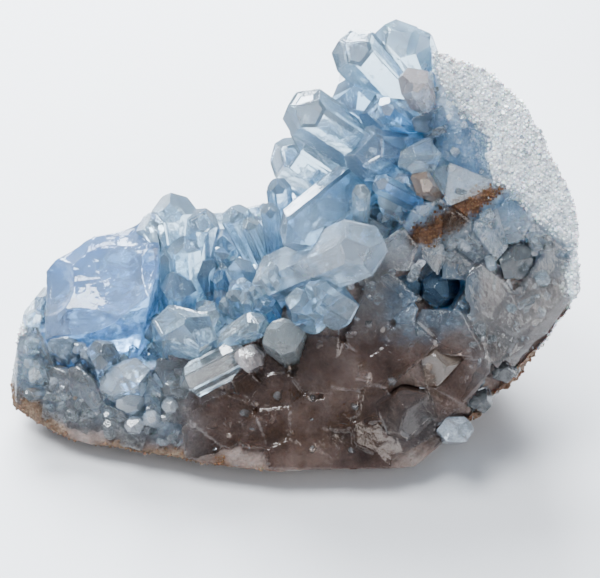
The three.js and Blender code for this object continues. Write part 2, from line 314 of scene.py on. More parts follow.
def grainGroup():
    # sugary grains: a grey speckle, its height and a darker gap between grains
    group, start, end = newGroup(
        "grain",
        [("Scale", "NodeSocketFloat", 900.0)],
        [("Speck", "NodeSocketFloat"), ("Height", "NodeSocketFloat"), ("Blotch", "NodeSocketFloat"),
         ("Cell", "NodeSocketFloat")],
    )
    links = group.links
    coords = group.nodes.new("ShaderNodeTexCoord")
    cells = addNode(group, "ShaderNodeTexVoronoi", {"Randomness": 1.0})
    fine = addNode(group, "ShaderNodeTexNoise", {"Detail": 6, "Roughness": 0.7})
    broad = addNode(group, "ShaderNodeTexNoise", {"Scale": 95, "Detail": 5, "Roughness": 0.6})
    for node in (cells, fine, broad):
        links.new(coords.outputs["Object"], node.inputs["Vector"])
    for node in (cells, fine):
        links.new(start.outputs["Scale"], node.inputs["Scale"])
    height = addNode(group, "ShaderNodeMath", operation="SUBTRACT")
    links.new(fine.outputs["Fac"], height.inputs[0])
    links.new(cells.outputs["Distance"], height.inputs[1])
    links.new(height.outputs["Value"], end.inputs["Height"])
    links.new(fine.outputs["Fac"], end.inputs["Speck"])
    links.new(broad.outputs["Fac"], end.inputs["Blotch"])
    shade = group.nodes.new("ShaderNodeSeparateColor")
    links.new(cells.outputs["Color"], shade.inputs["Color"])
    links.new(shade.outputs["Red"], end.inputs["Cell"])
    return group


facetSkin = facetSkinGroup()
grain = grainGroup()


def blankMaterial(name):
    material = bpy.data.materials.new(name)
    material.use_nodes = True
    tree = material.node_tree
    shader = tree.nodes["Principled BSDF"]
    return material, tree, shader, tree.nodes["Material Output"]


def crystalMaterial(name, look):
    material, tree, shader, output = blankMaterial(name)
    links = tree.links
    shader.inputs["Transmission Weight"].default_value = look["clear"]
    shader.inputs["IOR"].default_value = look.get("ior", 1.62)
    skin = tree.nodes.new("ShaderNodeGroup")
    skin.node_tree = facetSkin
    skin.inputs["Scale"].default_value = look.get("scale", 1.0)
    skin.inputs["Clear"].default_value = look["gloss"]
    skin.inputs["Cloudy"].default_value = look["cloudy"]
    tint = mixColour(tree)
    tint.inputs["A"].default_value = (*look["body"], 1)
    tint.inputs["B"].default_value = (*look["cloud"], 1)
    links.new(skin.outputs["Cloud"], tint.inputs["Factor"])
    links.new(tint.outputs["Result"], shader.inputs["Base Color"])
    links.new(skin.outputs["Roughness"], shader.inputs["Roughness"])
    bump = addNode(tree, "ShaderNodeBump", {"Strength": look.get("bump", 0.34), "Distance": 0.0003})
    links.new(skin.outputs["Height"], bump.inputs["Height"])
    links.new(bump.outputs["Normal"], shader.inputs["Normal"])
    depth = addNode(tree, "ShaderNodeVolumeAbsorption", {"Density": look["depth"]})
    depth.inputs["Color"].default_value = (*look["tint"], 1)
    links.new(depth.outputs["Volume"], output.inputs["Volume"])
    return material


crystalLooks = {
    "crystal_pale": {"clear": 0.88, "gloss": 0.02, "cloudy": 0.18, "body": (0.87, 0.95, 1.0),
                     "cloud": (0.8, 0.91, 1.0), "tint": (0.5, 0.75, 0.88), "depth": 52},
    "crystal_blue": {"clear": 0.87, "gloss": 0.025, "cloudy": 0.2, "body": (0.78, 0.9, 1.0),
                     "cloud": (0.74, 0.87, 1.0), "tint": (0.47, 0.73, 0.88), "depth": 85},
    "crystal_deep": {"clear": 0.9, "gloss": 0.02, "cloudy": 0.12, "body": (0.5, 0.74, 0.95),
                     "cloud": (0.45, 0.68, 0.9), "tint": (0.3, 0.6, 0.82), "depth": 75},
    "crystal_smoky": {"clear": 0.94, "gloss": 0.03, "cloudy": 0.22, "body": (0.8, 0.74, 0.7),
                      "cloud": (0.68, 0.6, 0.55), "tint": (0.6, 0.49, 0.41), "depth": 230},
    "clear_grey": {"clear": 0.92, "gloss": 0.025, "cloudy": 0.25, "body": (0.88, 0.92, 0.95),
                   "cloud": (0.8, 0.83, 0.85), "tint": (0.6, 0.68, 0.72), "depth": 75},
    "milky_blue": {"clear": 0.84, "gloss": 0.03, "cloudy": 0.16, "body": (0.7, 0.84, 1.0),
                   "cloud": (0.76, 0.87, 1.0), "tint": (0.5, 0.73, 0.9), "depth": 70, "bump": 0.3},
    "milky_white": {"clear": 0.8, "gloss": 0.03, "cloudy": 0.3, "body": (0.88, 0.94, 1.0),
                    "cloud": (0.92, 0.95, 1.0), "tint": (0.62, 0.78, 0.87), "depth": 42},
    "frosted_grey": {"clear": 0.74, "gloss": 0.2, "cloudy": 0.45, "body": (0.56, 0.61, 0.63),
                     "cloud": (0.68, 0.71, 0.72), "tint": (0.6, 0.66, 0.68), "depth": 110},
    "rosy_glass": {"clear": 0.82, "gloss": 0.05, "cloudy": 0.45, "body": (0.93, 0.87, 0.86),
                   "cloud": (0.82, 0.77, 0.76), "tint": (0.72, 0.66, 0.66), "depth": 70},
    "tan_glass": {"clear": 0.8, "gloss": 0.06, "cloudy": 0.4, "body": (0.76, 0.63, 0.54),
                  "cloud": (0.7, 0.57, 0.48), "tint": (0.7, 0.58, 0.49), "depth": 130},
}
slotLook = {"clear_grey": "crystal_pale", "milky_blue": "crystal_pale", "milky_white": "crystal_pale",
            "frosted_grey": "crystal_smoky", "rosy_glass": "crystal_smoky", "tan_glass": "crystal_smoky"}
crystalMaterials = {name: crystalMaterial(name, look) for name, look in crystalLooks.items()}
print("crystal materials:", len(crystalMaterials))


# the crystals of the frame, with growth steps, chipped corners and fine worn edges

crystalFinish = {"flatAngle": 1.0, "edge": 0.14 * mm, "edgeSegments": 2, "seed": 3,
                 "chipShare": 0.3, "chip": (0.25 * mm, 1.1 * mm),
                 "stepShare": 0.75, "stepArea": 14 * mm * mm, "stepRound": 0.032, "stepIn": (0.12, 0.4),
                 "stepLeast": 0.12 * mm, "stepDrop": (0.08 * mm, 0.28 * mm)}
ownLooks = {"left_slab": "milky_blue", "clear_point": "milky_white", "grey_knob": "frosted_grey",
            "tan_block": "tan_glass", "pink_block": "rosy_glass",
            "tan_window": "tan_glass", "lower_chip": "milky_white", "pinkish_chip": "rosy_glass",
            "corner_block": "clear_grey", "step_block": "clear_grey", "wall_window": "clear_grey",
            "front_left_point": "milky_white", "lying_prism": "clear_grey", "clear_round": "clear_grey",
            "front_chip": "milky_white"}
slotOf = {row["node"]: row["material_slot"] for row in frame["record"]["subparts"]}


def lookOf(node):
    return crystalMaterials[ownLooks.get(node, slotOf[node])]


def cleanMesh(node):
    mesh = frame["nodes"][node].data.copy()
    mesh.name = node + "_crystal"
    mesh.materials.clear()
    work = bmesh.new()
    work.from_mesh(mesh)
    bmesh.ops.remove_doubles(work, verts=work.verts, dist=0.01 * mm)
    bmesh.ops.dissolve_limit(work, angle_limit=math.radians(crystalFinish["flatAngle"]),
                             verts=work.verts, edges=work.edges)
    return mesh, work


def inOrder(parts, at):
    # bmesh hands its parts over in any order, so they are sorted by place for the same result each run
    return sorted(parts, key=lambda part: tuple(round(c / mm, 2) for c in at(part)))


def chipCorners(work, rng):
    for vert in inOrder(work.verts, lambda v: v.co):
        if rng.random() > crystalFinish["chipShare"] or not vert.is_valid:
            continue
        if any(not e.is_manifold or e.calc_face_angle_signed(0) < 0.05 for e in vert.link_edges):
            continue
        shortest = min(e.calc_length() for e in vert.link_edges)
        size = min(rng.uniform(*crystalFinish["chip"]), shortest * 0.4)
        bmesh.ops.bevel(work, geom=[vert], offset=size, offset_type="OFFSET", segments=1, profile=0.5,
                        affect="VERTICES", clamp_overlap=True)


def plainFace(face):
    # large, convex and not a sliver
    fullness = face.calc_area() / face.calc_perimeter() ** 2
    return (face.calc_area() > crystalFinish["stepArea"] and fullness > crystalFinish["stepRound"]
            and all(loop.is_convex for loop in face.loops))


def insetRoom(face):
    # how far the outline moves in before its first edge vanishes
    room = []
    for loop in face.loops:
        ends = (loop.calc_angle(), loop.link_loop_next.calc_angle())
        closing = sum(1 / math.tan(max(angle, 0.05) / 2) for angle in ends)
        room.append(loop.edge.calc_length() / max(closing, 0.05))
    return min(room)


def growthSteps(work, rng):
    # a shallow terrace inside a large face, sometimes with a second one inside that
    large = [f for f in work.faces if plainFace(f)]
    for face in inOrder(large, lambda f: f.calc_center_median()):
        level = 0
        while rng.random() < crystalFinish["stepShare"] * (1 if level == 0 else 0.55) and level < 3:
            reach = 2 * face.calc_area() / face.calc_perimeter()
            side = -1 if rng.random() < 0.75 else 0.6
            inset = min(reach * rng.uniform(*crystalFinish["stepIn"]), 0.75 * insetRoom(face))
            if inset < crystalFinish["stepLeast"]:
                break
            bmesh.ops.inset_individual(work, faces=[face], use_even_offset=True, thickness=inset,
                                       depth=side * min(rng.uniform(*crystalFinish["stepDrop"]), inset))
            level += 1


def stays(work, node):
    # a step at a very sharp corner can throw a spike: such a mesh is not kept
    low, high = (np.array(corner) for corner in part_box(node))
    points = np.array([v.co for v in work.verts])
    return (points > low - 0.4 * mm).all() and (points < high + 0.4 * mm).all()


def crystalPiece(node, rng):
    mesh, work = cleanMesh(node)
    chipCorners(work, rng)
    plain = work.copy()
    growthSteps(work, rng)
    kept = work if stays(work, node) else plain
    for face in kept.faces:
        face.smooth = False
    for vert in kept.verts:
        vert.co = np.clip(vert.co, np.array(cadBox[0]), np.array(cadBox[1]) - 0.02 * mm)
    oneWay = Vector((1.0, 0.618, 0.377))
    kept.verts.sort(key=lambda v: v.co.dot(oneWay))
    kept.faces.sort(key=lambda f: f.calc_center_median().dot(oneWay))
    kept.to_mesh(mesh)
    work.free()
    plain.free()
    piece = bpy.data.objects.new(node + "_crystal", mesh)
    bpy.context.scene.collection.objects.link(piece)
    mesh.materials.append(lookOf(node))
    addBevel(piece, crystalFinish["edge"], crystalFinish["edgeSegments"])
    applyModifiers(piece)
    return piece


# the broken slab at the left: shell-shaped scoops, as glass breaks
slab = {"voxel": 0.42 * mm, "ripple": 0.05, "rippleLength": 0.55,
        "streak": 0.32, "streakSize": 3.2, "streakStretch": (0.35, 1.1, 1.0),
        "scoops": [  # place, direction out of the face, radius and depth in mm
            ((-38, -1, 33.5), (-0.3, -0.5, 0.8), 30, 2.6), ((-43, -8, 27), (-0.2, -0.75, 0.63), 20, 1.6),
            ((-36, 9, 38), (-0.1, -0.3, 0.95), 14, 1.5), ((-50, 0, 27.5), (-0.6, -0.3, 0.74), 12, 1.3),
            ((-30, -1, 35), (0.5, -0.4, 0.77), 12, 1.3), ((-40, 13, 34), (-0.1, 0.75, 0.66), 18, 1.8),
            ((-47, 6, 33), (-0.4, -0.1, 0.9), 9, 0.9)]}


def slabPiece():
    mesh = frame["nodes"]["left_slab"].data.copy()
    mesh.name = "left_slab_crystal"
    mesh.materials.clear()
    work = bmesh.new()  # the whole block, without the notches its neighbours leave in it
    for vert in mesh.vertices:
        work.verts.new(vert.co)
    inner = bmesh.ops.convex_hull(work, input=work.verts)["geom_interior"]
    bmesh.ops.delete(work, geom=[v for v in inner if isinstance(v, bmesh.types.BMVert)], context="VERTS")
    work.to_mesh(mesh)
    work.free()
    piece = bpy.data.objects.new("left_slab_crystal", mesh)
    bpy.context.scene.collection.objects.link(piece)
    remesh = piece.modifiers.new("skin", "REMESH")
    remesh.mode = "VOXEL"
    remesh.voxel_size = slab["voxel"]
    remesh.use_smooth_shade = True
    applyModifiers(piece)
    mesh = piece.data
    points = np.empty(len(mesh.vertices) * 3)
    mesh.vertices.foreach_get("co", points)
    points = points.reshape(-1, 3) / mm
    for at, out, radius, depth in slab["scoops"]:
        out = unit(out)
        middle = np.array(at) + out * (radius - depth)
        gap = points - middle
        along = gap @ out
        across = np.sum(gap * gap, axis=1) - along * along
        floor = -np.sqrt(np.maximum(radius * radius - across, 0))
        inside = (across < radius * radius) & (along > floor)
        near = np.linalg.norm(points - np.array(at), axis=1) < 3 * radius
        ring = np.linalg.norm(points - np.array(at) - 6 * out, axis=1)
        wave = slab["ripple"] * np.sin(2 * math.pi * ring / (slab["rippleLength"] * (1 + 0.12 * ring)))
        shift = np.where(inside & near, along - floor + wave, 0)
        points -= out * shift[:, None]
    streaks = fractal(points * slab["streakStretch"], slab["streakSize"], 7)
    normals = np.empty(len(points) * 3)
    mesh.vertices.foreach_get("normal", normals)
    points -= normals.reshape(-1, 3) * (slab["streak"] * np.maximum(streaks, 0))[:, None]
    mesh.vertices.foreach_set("co", (points * mm).ravel())
    mesh.update()
    mesh.materials.append(lookOf("left_slab"))
    return piece


def frameCrystals():
    made = {}
    for number, node in enumerate(sorted(frame["nodes"])):
        if node == "geode_wall":
            continue
        rng = np.random.default_rng(crystalFinish["seed"] + number)
        piece = slabPiece() if node == "left_slab" else crystalPiece(node, rng)
        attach(piece, "root")
        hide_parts(node)
        made[node] = piece
    return made


crystals = frameCrystals()
print("crystals:", len(crystals))


# the rock: a fine skin over the frame's wall, broken up by zone

wall = {
    "voxel": 0.6 * mm,
    "hollowSlack": 0.14,  # the hollow runs front to back, so its surface hardly faces either way
    "hullSlack": 0.8,
    "sugarEdge": [(33, 64), (36, 61.5), (43, 59), (51, 53.5), (54, 47.5), (59, 41.5), (63, 39.5),
                  (68, 37.2), (72, 34.3), (76, 31.1), (79, 29.6)],  # height, then where the rim starts
    "crustEdge": [(-56, 10), (-51, 7.7), (-44, 5.9), (-34, 6.7), (-27, 7), (-18, 7), (-5, 5.5), (8, 4),
                  (22, 1)],  # x, then height below which the brown rind shows
    "carve": 2.2,  # the section's rock lies this far behind its glassy blocks
    "crustRough": 0.55,
    "lump": (13.0, 2.7), "dent": (5.0, 0.9),  # size, then how far the outside falls in, in mm
    "hollowRough": 0.5,
    "sectionRough": 0.5,
    "rustBand": ((29.1, -6.2, 48), (43.4, -1.3, 55.9), 3.6),  # two ends and a half width
    "rustSpots": [((41, -13, 36.5), 3.5), ((47.5, -5, 50), 1.4), ((3, -24, 19), 3), ((13, -26.5, 15.5), 3.5),
                  ((20, -27, 14.5), 2.5), ((-14, -32, 6.5), 3)],
}


def wallMesh():
    source = frame["nodes"]["geode_wall"]
    piece = bpy.data.objects.new("geode_rock", source.data.copy())
    bpy.context.scene.collection.objects.link(piece)
    piece.data.materials.clear()
    weld = piece.modifiers.new("weld", "WELD")
    weld.merge_threshold = 0.01 * mm
    remesh = piece.modifiers.new("skin", "REMESH")
    remesh.mode = "VOXEL"
    remesh.voxel_size = wall["voxel"]
    applyModifiers(piece)
    piece.data.name = "geode_rock"
    return piece


def spread(values, rounds):
    # evens values out over the rock's own edges
    ends = np.empty(len(rock.data.edges) * 2, int)
    rock.data.edges.foreach_get("vertices", ends)
    a, b = ends.reshape(-1, 2).T
    count = np.bincount(a, minlength=len(values)) + np.bincount(b, minlength=len(values))
    for step in range(rounds):
        total = np.bincount(a, values[b], len(values)) + np.bincount(b, values[a], len(values))
        values = 0.5 * values + 0.5 * total / np.maximum(count, 1)
    return values


def rockHull():
    # the wall's outside is convex, so its hull tells the outside from the hollow and the pockets
    work = bmesh.new()
    for vert in frame["nodes"]["geode_wall"].data.vertices:
        work.verts.new(vert.co / mm)
    bmesh.ops.convex_hull(work, input=work.verts)
    planes = {tuple(np.round((*f.normal, f.normal.dot(f.verts[0].co)), 2)) for f in work.faces}
    work.free()
    planes = np.array(sorted(planes))
    return planes[:, :3], planes[:, 3]


hullNormals, hullReaches = rockHull()
sectionSide = (hullNormals[:, 1] < -0.55) & (hullNormals[:, 2] > 0.2)
rock = wallMesh()
rockCount = len(rock.data.vertices)
place = np.empty(rockCount * 3)
rock.data.vertices.foreach_get("co", place)
place = place.reshape(-1, 3) / mm
facing = np.empty(rockCount * 3)
rock.data.vertices.foreach_get("normal", facing)
facing = facing.reshape(-1, 3)
print("rock skin:", rockCount, "points")

broad = fractal(place, 9.0, 1)
fine = fractal(place, 2.2, 2)
inHollow = ((np.abs(facing[:, 1]) < wall["hollowSlack"]) & (facing[:, 2] > 0.04) & (place[:, 2] > 11)
            & ((facing[:, 0] < 0.2) | (place[:, 0] < -40)))
depthIn = place @ hullNormals.T - hullReaches
outside = depthIn.max(axis=1) > -wall["hullSlack"]
inHollow &= ~outside
inSection = outside & sectionSide[depthIn.argmax(axis=1)]
inCrust = outside & ~inSection
inPocket = ~outside & ~inHollow
onRight = smooth(-5, 12, place[:, 0] + 5 * broad) * smooth(24, 40, place[:, 2] + 8 * broad + 4 * fine)
rimStart = np.interp(place[:, 2], *zip(*wall["sugarEdge"]))
rindTop = np.interp(place[:, 0], *zip(*wall["crustEdge"]))
onLeft = 0.8 * smooth(-50, -55, place[:, 0]) * smooth(8, 13, place[:, 2])
onRim = smooth(-2, 2, place[:, 0] - rimStart + 4 * broad) * smooth(30, 36, place[:, 2])
sugar = np.where(inCrust, np.maximum(onRight, onLeft), 0)
sugar = np.maximum(sugar, inSection * onRim)
crust = np.where(inCrust, 1 - sugar, 0)
crust = np.maximum(crust, inSection * smooth(1.2, -1.2, place[:, 2] - rindTop + 2 * broad))


def rustAt(points, wander):
    # iron stain: one long band below the blue crystals and a few spots
    start, end, half = (np.array(v, float) for v in wall["rustBand"])
    along = np.clip((points - start) @ (end - start) / np.sum((end - start) ** 2), 0, 1)
    gap = np.linalg.norm(points - start - along[:, None] * (end - start), axis=1)
    gap /= half * (1.15 - 0.5 * along)
    amount = smooth(1.15, 0.35, gap + wander)
    for spot, size in wall["rustSpots"]:
        gap = np.linalg.norm(points - np.array(spot), axis=1) / size
        amount = np.maximum(amount, 0.8 * smooth(1.25, 0.2, gap + wander))
    return amount


rust = rustAt(place, 0.4 * fine + 0.3 * broad) * inSection
bluish = inSection * np.maximum(smooth(40, 50, place[:, 2]), 0.8 * smooth(-14, -30, place[:, 0]))
bluish = np.clip(bluish * smooth(6, 12, place[:, 2]) + inHollow, 0, 1)

push = wall["crustRough"] * (0.9 * broad + 0.55 * fine) * inCrust
for seed, key in ((3, "lump"), (4, "dent")):
    size, deepest = wall[key]
    push -= deepest * smooth(-0.1, 0.7, fractal(place, size, seed)) * inCrust
push += wall["sectionRough"] * (broad + 0.4 * fine) * inSection
belowSection = -depthIn[:, sectionSide].max(axis=1)
rim = inSection | (inPocket & (belowSection < wall["carve"] + 1))
glassy = rim * (1 - np.clip(sugar + crust + rust, 0, 1)) * smooth(5, 12, place[:, 2])
sink = np.clip(wall["carve"] * spread(glassy, 12) - np.maximum(belowSection, 0), 0, None) * rim
inward = -hullNormals[sectionSide][depthIn[:, sectionSide].argmax(axis=1)]
push += wall["hollowRough"] * (broad + 0.6 * fine) * inHollow
push = np.where(inHollow, np.minimum(push, 0.3), push)
push = np.where(inPocket, np.minimum(push, 0.0), push)
underside = smooth(2.2, 0.2, place[:, 2])
moved = place + facing * (push * (1 - underside))[:, None] + inward * (sink * (1 - underside))[:, None]
moved[:, 2] = np.maximum(moved[:, 2], 0)
low = np.array(cadBox[0]) / mm
high = np.array(cadBox[1]) / mm
moved = np.clip(moved, low, high)
rock.data.vertices.foreach_set("co", (moved * mm).ravel())
rock.data.update()
zones = rock.data.attributes.new("zones", "FLOAT_COLOR", "POINT")
zones.data.foreach_set("color", np.stack([sugar, crust, rust, bluish], 1).ravel())
pocket = rock.data.attributes.new("pocket", "FLOAT", "POINT")
pocket.data.foreach_set("value", inPocket * smooth(20, 28, place[:, 2]))


def rockMaterial():
    material, tree, shader, output = blankMaterial("geode_rock")
    links = tree.links
    zone = addNode(tree, "ShaderNodeAttribute", attribute_name="zones")
    parts = tree.nodes.new("ShaderNodeSeparateColor")
    links.new(zone.outputs["Color"], parts.inputs["Color"])
    grit = tree.nodes.new("ShaderNodeGroup")
    grit.node_tree = grain
    grit.inputs["Scale"].default_value = 1300
    inner = ramp(tree, [(0.3, (0.1, 0.075, 0.065)), (0.5, (0.22, 0.17, 0.15)), (0.72, (0.42, 0.36, 0.33))])
    links.new(grit.outputs["Blotch"], inner.inputs["Fac"])
    white = ramp(tree, [(0.32, (0.22, 0.25, 0.29)), (0.5, (0.66, 0.69, 0.71)), (0.66, (0.93, 0.94, 0.95))])
    links.new(grit.outputs["Speck"], white.inputs["Fac"])
    tan = ramp(tree, [(0.38, (0.06, 0.035, 0.022)), (0.5, (0.17, 0.11, 0.07)), (0.64, (0.34, 0.26, 0.19))])
    mottle = addNode(tree, "ShaderNodeMath", {1: 0.45}, operation="MULTIPLY_ADD")
    half = addNode(tree, "ShaderNodeMath", {1: 0.55}, operation="MULTIPLY")
    links.new(grit.outputs["Speck"], half.inputs[0])
    links.new(grit.outputs["Blotch"], mottle.inputs[0])
    links.new(half.outputs["Value"], mottle.inputs[2])
    links.new(mottle.outputs["Value"], tan.inputs["Fac"])
    rusty = ramp(tree, [(0.3, (0.05, 0.022, 0.01)), (0.55, (0.13, 0.06, 0.028)), (0.75, (0.27, 0.15, 0.075))])
    links.new(grit.outputs["Speck"], rusty.inputs["Fac"])
    blue = ramp(tree, [(0.3, (0.3, 0.45, 0.62)), (0.7, (0.66, 0.79, 0.92))])
    links.new(grit.outputs["Blotch"], blue.inputs["Fac"])
    deep = ramp(tree, [(0.3, (0.06, 0.17, 0.32)), (0.7, (0.22, 0.44, 0.66))])
    links.new(grit.outputs["Blotch"], deep.inputs["Fac"])
    pocket = addNode(tree, "ShaderNodeAttribute", attribute_name="pocket")
    colour = inner.outputs["Color"]
    for weight, layer in ((zone.outputs["Alpha"], blue), (parts.outputs["Green"], tan),
                          (parts.outputs["Red"], white), (parts.outputs["Blue"], rusty),
                          (pocket.outputs["Fac"], deep)):
        mix = mixColour(tree)
        links.new(weight, mix.inputs["Factor"])
        links.new(colour, mix.inputs["A"])
        links.new(layer.outputs["Color"], mix.inputs["B"])
        colour = mix.outputs["Result"]
    links.new(colour, shader.inputs["Base Color"])
    rough = addNode(tree, "ShaderNodeMapRange", {"To Min": 0.25, "To Max": 0.8})
    links.new(grit.outputs["Speck"], rough.inputs["Value"])
    links.new(rough.outputs["Result"], shader.inputs["Roughness"])
    bump = addNode(tree, "ShaderNodeBump", {"Strength": 0.6, "Distance": 0.0006})
    links.new(grit.outputs["Height"], bump.inputs["Height"])
    links.new(bump.outputs["Normal"], shader.inputs["Normal"])
    shader.inputs["Subsurface Weight"].default_value = 0.15
    shader.inputs["Subsurface Scale"].default_value = 0.002
    return material


rock.data.materials.append(rockMaterial())
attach(rock, "root")
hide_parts("geode_wall")
print("rock zones: sugar", int((sugar > 0.5).sum()), "crust", int((crust > 0.5).sum()))


# scattering over the rock

def scatter(mask, spacing, rng, most=10000):
    # points of the rock's skin, no two closer than the spacing in mm
    picks = rng.permutation(np.where(mask)[0])
    kept = []
    cells = {}
    for i in picks:
        p = place[i]
        key = tuple(np.floor(p / spacing).astype(int))
        near = (cells.get((key[0] + a, key[1] + b, key[2] + c), ())
                for a in (-1, 0, 1) for b in (-1, 0, 1) for c in (-1, 0, 1))
        if any(np.dot(p - q, p - q) < spacing * spacing for group in near for q in group):
            continue
        cells.setdefault(key, []).append(p)
        kept.append(i)
        if len(kept) >= most:
            break
    return kept


def meshTree(piece):
    verts = [v.co.copy() for v in piece.data.vertices]
    return BVHTree.FromPolygons(verts, [list(face.vertices) for face in piece.data.polygons])


crystalTrees = {node: meshTree(piece) for node, piece in crystals.items()}


def nearCrystals(p, within, apart=None):
    # the way to each crystal close to p: direction, distance, and whether p is inside
    at = Vector(p) * mm
    found = []
    for node, tree in crystalTrees.items():
        if node == apart:
            continue
        hit, normal, index, gap = tree.find_nearest(at, within * mm)
        if hit is None or gap < 1e-7:
            continue
        found.append((np.array(hit - at) / gap, gap / mm, (at - hit).dot(normal) < 0))
    return found


def insideCrystal(p):
    return any(inside for way, gap, inside in nearCrystals(p, 12))


# broken glassy blocks that fill the leaning section from side to side

blocks = {
    "seed": 11, "spacing": 4.4, "dropped": 0.4, "depth": 5.0, "gap": 0.01, "neighbours": 14,
    "lean": (0.045, 0.2), "rise": (-0.1, 0.3), "proudShare": 0.08, "proud": (0.5, 1.3), "chips": (0, 2),
    "edge": 0.05 * mm, "widest": 8.5, "hullReach": 9.0, "glassShare": 0.22, "ragged": 3.6, "voxel": 0.42 * mm,
    "face": ((26.5, -27.4, 13.8), 6.2),  # the large smooth smoky face
    # the blue hollow stays open
    "open": [(26.5, -14, 34), (30.5, -13.6, 36), (35, -13, 37.5)], "openReach": 3.0,
    # the section leans back by the second, and by the first left of the third
    "slope": (0.5, 0.62, -19.75),
}


def paleness(points):
    # the section turns from smoky brown to pale grey upwards and to the left; the brown left low in the middle
    # is partly the section's own smoky, iron-stained colour and partly painted shade with a painted brown
    # reflection from below
    pale = smooth(27, 40, points[:, 2]) + 0.85 * smooth(-12, -30, points[:, 0])
    pale += 0.7 * smooth(34, 46, points[:, 0]) * smooth(10, 16, points[:, 2])
    away = np.linalg.norm(points - np.array(blocks["face"][0]), axis=1) / blocks["face"][1]
    return np.clip(pale + 0.4 * smooth(1.5, 0.6, away), 0, 1)


def sectionMaterial():
    material, tree, shader, output = blankMaterial("section_glass")
    links = tree.links
    tone = addNode(tree, "ShaderNodeAttribute", attribute_name="tone")
    parts = tree.nodes.new("ShaderNodeSeparateColor")
    links.new(tone.outputs["Color"], parts.inputs["Color"])
    skin = tree.nodes.new("ShaderNodeGroup")
    skin.node_tree = facetSkin
    skin.inputs["Scale"].default_value = 0.8
    skin.inputs["Clear"].default_value = 0.03
    skin.inputs["Cloudy"].default_value = 0.22
    grit = tree.nodes.new("ShaderNodeGroup")
    grit.node_tree = grain
    grit.inputs["Scale"].default_value = 520
    # smoky brown base where the tone's pale channel is low: partly the section's own colour, partly painted
    # shade and a painted brown reflection low in the middle
    smoky = ramp(tree, [(0.32, (0.19, 0.12, 0.095)), (0.5, (0.42, 0.3, 0.255)), (0.68, (0.65, 0.51, 0.45))])
    links.new(grit.outputs["Blotch"], smoky.inputs["Fac"])
    pale = ramp(tree, [(0.3, (0.72, 0.76, 0.79)), (0.7, (0.92, 0.94, 0.96))])
    links.new(grit.outputs["Blotch"], pale.inputs["Fac"])
    # dark brown for the tone's green channel: iron and random stains, and painted shade with a painted brown
    # reflection low in the middle
    stain_and_shade_colour = ramp(tree, [(0.35, (0.12, 0.06, 0.03)), (0.7, (0.42, 0.26, 0.15))])
    links.new(grit.outputs["Speck"], stain_and_shade_colour.inputs["Fac"])
    blue = ramp(tree, [(0.3, (0.4, 0.62, 0.88)), (0.7, (0.72, 0.86, 0.98))])
    links.new(grit.outputs["Blotch"], blue.inputs["Fac"])
    colour = smoky.outputs["Color"]
    for weight, layer in ((parts.outputs["Red"], pale), (parts.outputs["Blue"], blue),
                          (parts.outputs["Green"], stain_and_shade_colour)):
        mix = mixColour(tree)
        links.new(weight, mix.inputs["Factor"])
        links.new(colour, mix.inputs["A"])
        links.new(layer.outputs["Color"], mix.inputs["B"])
        colour = mix.outputs["Result"]
    links.new(colour, shader.inputs["Base Color"])
    links.new(skin.outputs["Roughness"], shader.inputs["Roughness"])
    bump = addNode(tree, "ShaderNodeBump", {"Strength": 0.35, "Distance": 0.0005})
    links.new(skin.outputs["Height"], bump.inputs["Height"])
    links.new(bump.outputs["Normal"], shader.inputs["Normal"])
    shader.inputs["Transmission Weight"].default_value = 0.88
    shader.inputs["IOR"].default_value = 1.62
    depth = addNode(tree, "ShaderNodeVolumeAbsorption", {"Density": 55})
    depth.inputs["Color"].default_value = (0.69, 0.59, 0.53, 1)
    links.new(depth.outputs["Volume"], output.inputs["Volume"])
    return material


def paintTone(piece):
    points = np.empty(len(piece.data.vertices) * 3)
    piece.data.vertices.foreach_get("co", points)
    points = points.reshape(-1, 3) / mm
    wander = fractal(points, 4.0, 5)
    pale = np.clip(paleness(points) + 0.25 * wander * (paleness(points) > 0.05), 0, 1)
    stain_and_shade = np.maximum(rustAt(points, 0.5 * wander), 0.55 * smooth(0.15, 0.6, wander) * (1 - pale))
    tone = piece.data.attributes.new("tone", "FLOAT_COLOR", "POINT")
    # a brown patch low in the middle of the section: partly iron stain, partly painted shade and a painted
    # brown reflection from below
    warm_stain_and_shade = np.exp(-((points[:, 0] - 13) / 12) ** 2 - ((points[:, 2] - 15) / 7) ** 2)
    stain_and_shade = np.maximum(stain_and_shade, warm_stain_and_shade * smooth(-0.3, 0.5, wander) * 0.75)
    blue = smooth(50, 56, points[:, 2] + 3 * wander)
    hollow = np.min([np.linalg.norm(points - np.array(spot), axis=1) for spot in blocks["open"]], axis=0)
    blue = np.maximum(blue, 0.9 * smooth(8.5, 4.5, hollow + 2.5 * wander))
    tone.data.foreach_set("color", np.stack([pale, stain_and_shade, blue, 0 * pale + 1], 1).ravel())


def sectionNormal(p):
    aside, back, start = blocks["slope"]
    return unit((-aside if p[0] < start else 0.0, -1.0, back))


def blockLook(p, rng):
    if rng.random() < blocks["glassShare"] * paleness(p[None])[0]:
        return "crystal_pale" if p[2] > 54 else "clear_grey"
    return "section_glass"


